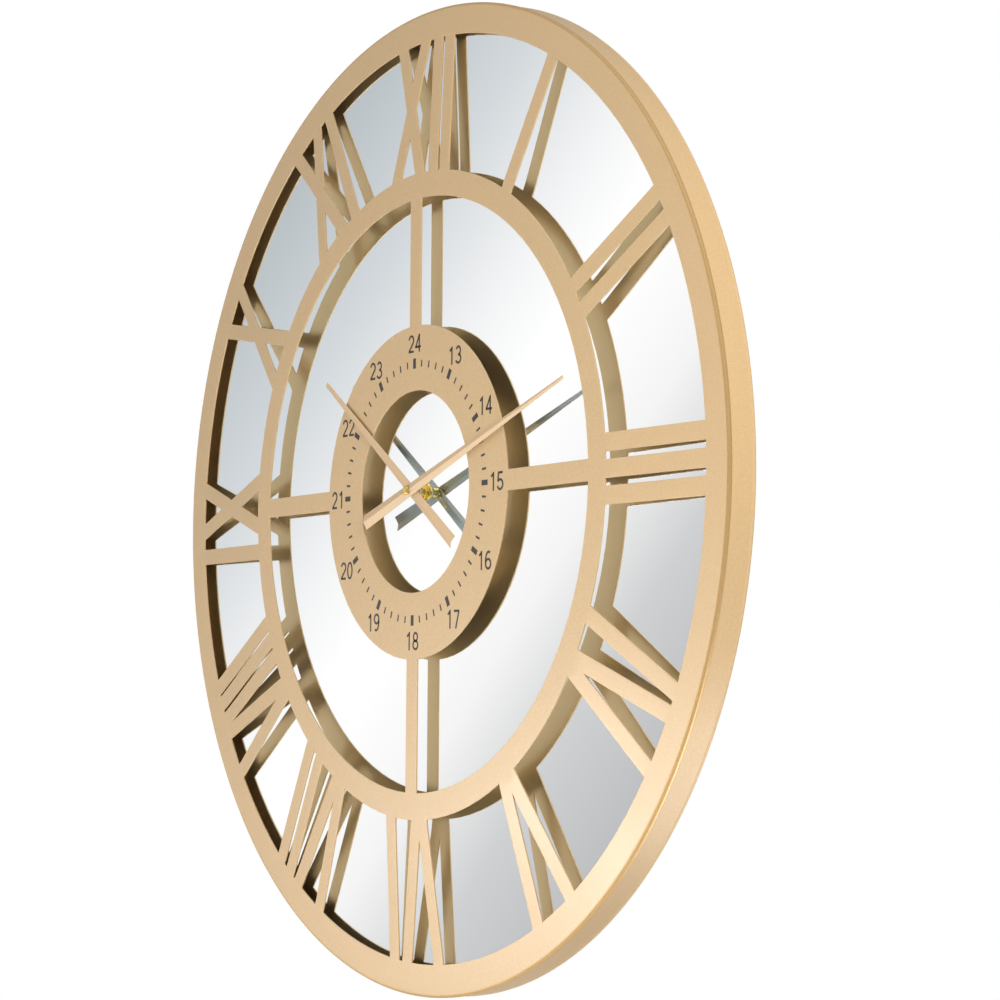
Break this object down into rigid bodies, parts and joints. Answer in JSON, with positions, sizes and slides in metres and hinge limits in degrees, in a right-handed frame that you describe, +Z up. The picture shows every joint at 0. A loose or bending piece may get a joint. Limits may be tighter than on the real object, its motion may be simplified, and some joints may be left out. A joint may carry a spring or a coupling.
{
  "type": "mirror wall clock",
  "caption": "Round wall clock with a cut gold sheet-metal face, Roman numerals and dial ring in front of a mirror disc, folded hands and a battery movement behind.",
  "frame": {"origin": "centre of the hanger's keyhole entry, on the face that meets the wall", "axes": "+Z up, +X to the right seen from the front, +Y into the wall; the dial faces -Y"},
  "size_m": [0.7, 0.0437, 0.7],
  "materials": {
    "gold_paint": "satin fine-textured gold paint",
    "hand_paint": "satin gold paint on folded sheet",
    "mirror": "silvered",
    "board": "bare fibreboard",
    "steel": "zinc plated",
    "brass": "bright turned",
    "rubber": "matte",
    "case_plastic": "fine spark texture",
    "gear_plastic": "moulded",
    "coil_wire": "enamelled wire",
    "circuit": "lacquered",
    "cell": "plain wrap"
  },
  "bodies": {
    "clock_body": {"face_plate": "gold_paint", "rim_band": "gold_paint", "rim_tabs": "gold_paint", "mirror_glass": "mirror", "back_board": "board", "board_screws": "steel", "hanger_bracket": "steel", "hanger_screws": "steel", "wall_bumpers": "rubber", "threaded_bush": "brass", "rubber_gasket": "rubber", "flat_washer": "brass", "hex_nut": "brass", "movement_case": "case_plastic", "movement_cover": "case_plastic", "motor_unit": "gear_plastic", "drive_coil": "coil_wire", "circuit_board": "circuit", "contact_positive": "brass", "contact_negative": "brass"},
    "minute_train": {"minute_arbor": "brass", "minute_hand_bush": "brass", "minute_hand": "hand_paint", "cap_nut": "brass"},
    "hour_train": {"hour_wheel": "gear_plastic", "hour_pipe": "gear_plastic", "hour_hand_collet": "brass", "hour_hand": "hand_paint"},
    "motion_train": {"motion_wheel": "gear_plastic", "setting_knob": "case_plastic"},
    "battery_cell": {"battery": "cell"}
  },
  "joints": [
    {"name": "minute_turn", "type": "hinge", "parent": "clock_body", "child": "minute_train", "pos_m": [0, -0.036, -0.24], "axis": [0, 1, 0], "continuous": true},
    {"name": "hour_turn", "type": "hinge", "parent": "clock_body", "child": "hour_train", "pos_m": [0, -0.036, -0.24], "axis": [0, 1, 0], "continuous": true},
    {"name": "motion_turn", "type": "hinge", "parent": "clock_body", "child": "motion_train", "pos_m": [0.00813, -0.01, -0.23187], "axis": [0, 1, 0], "continuous": true},
    {"name": "battery_slide", "type": "slide", "parent": "clock_body", "child": "battery_cell", "axis": [0, 1, 0], "range_m": [0, 0.02]}
  ],
  "couplings": [
    {"joint": "hour_turn", "follows": "minute_turn", "ratio": 0.083333},
    {"joint": "motion_turn", "follows": "minute_turn", "ratio": -0.33333}
  ]
}
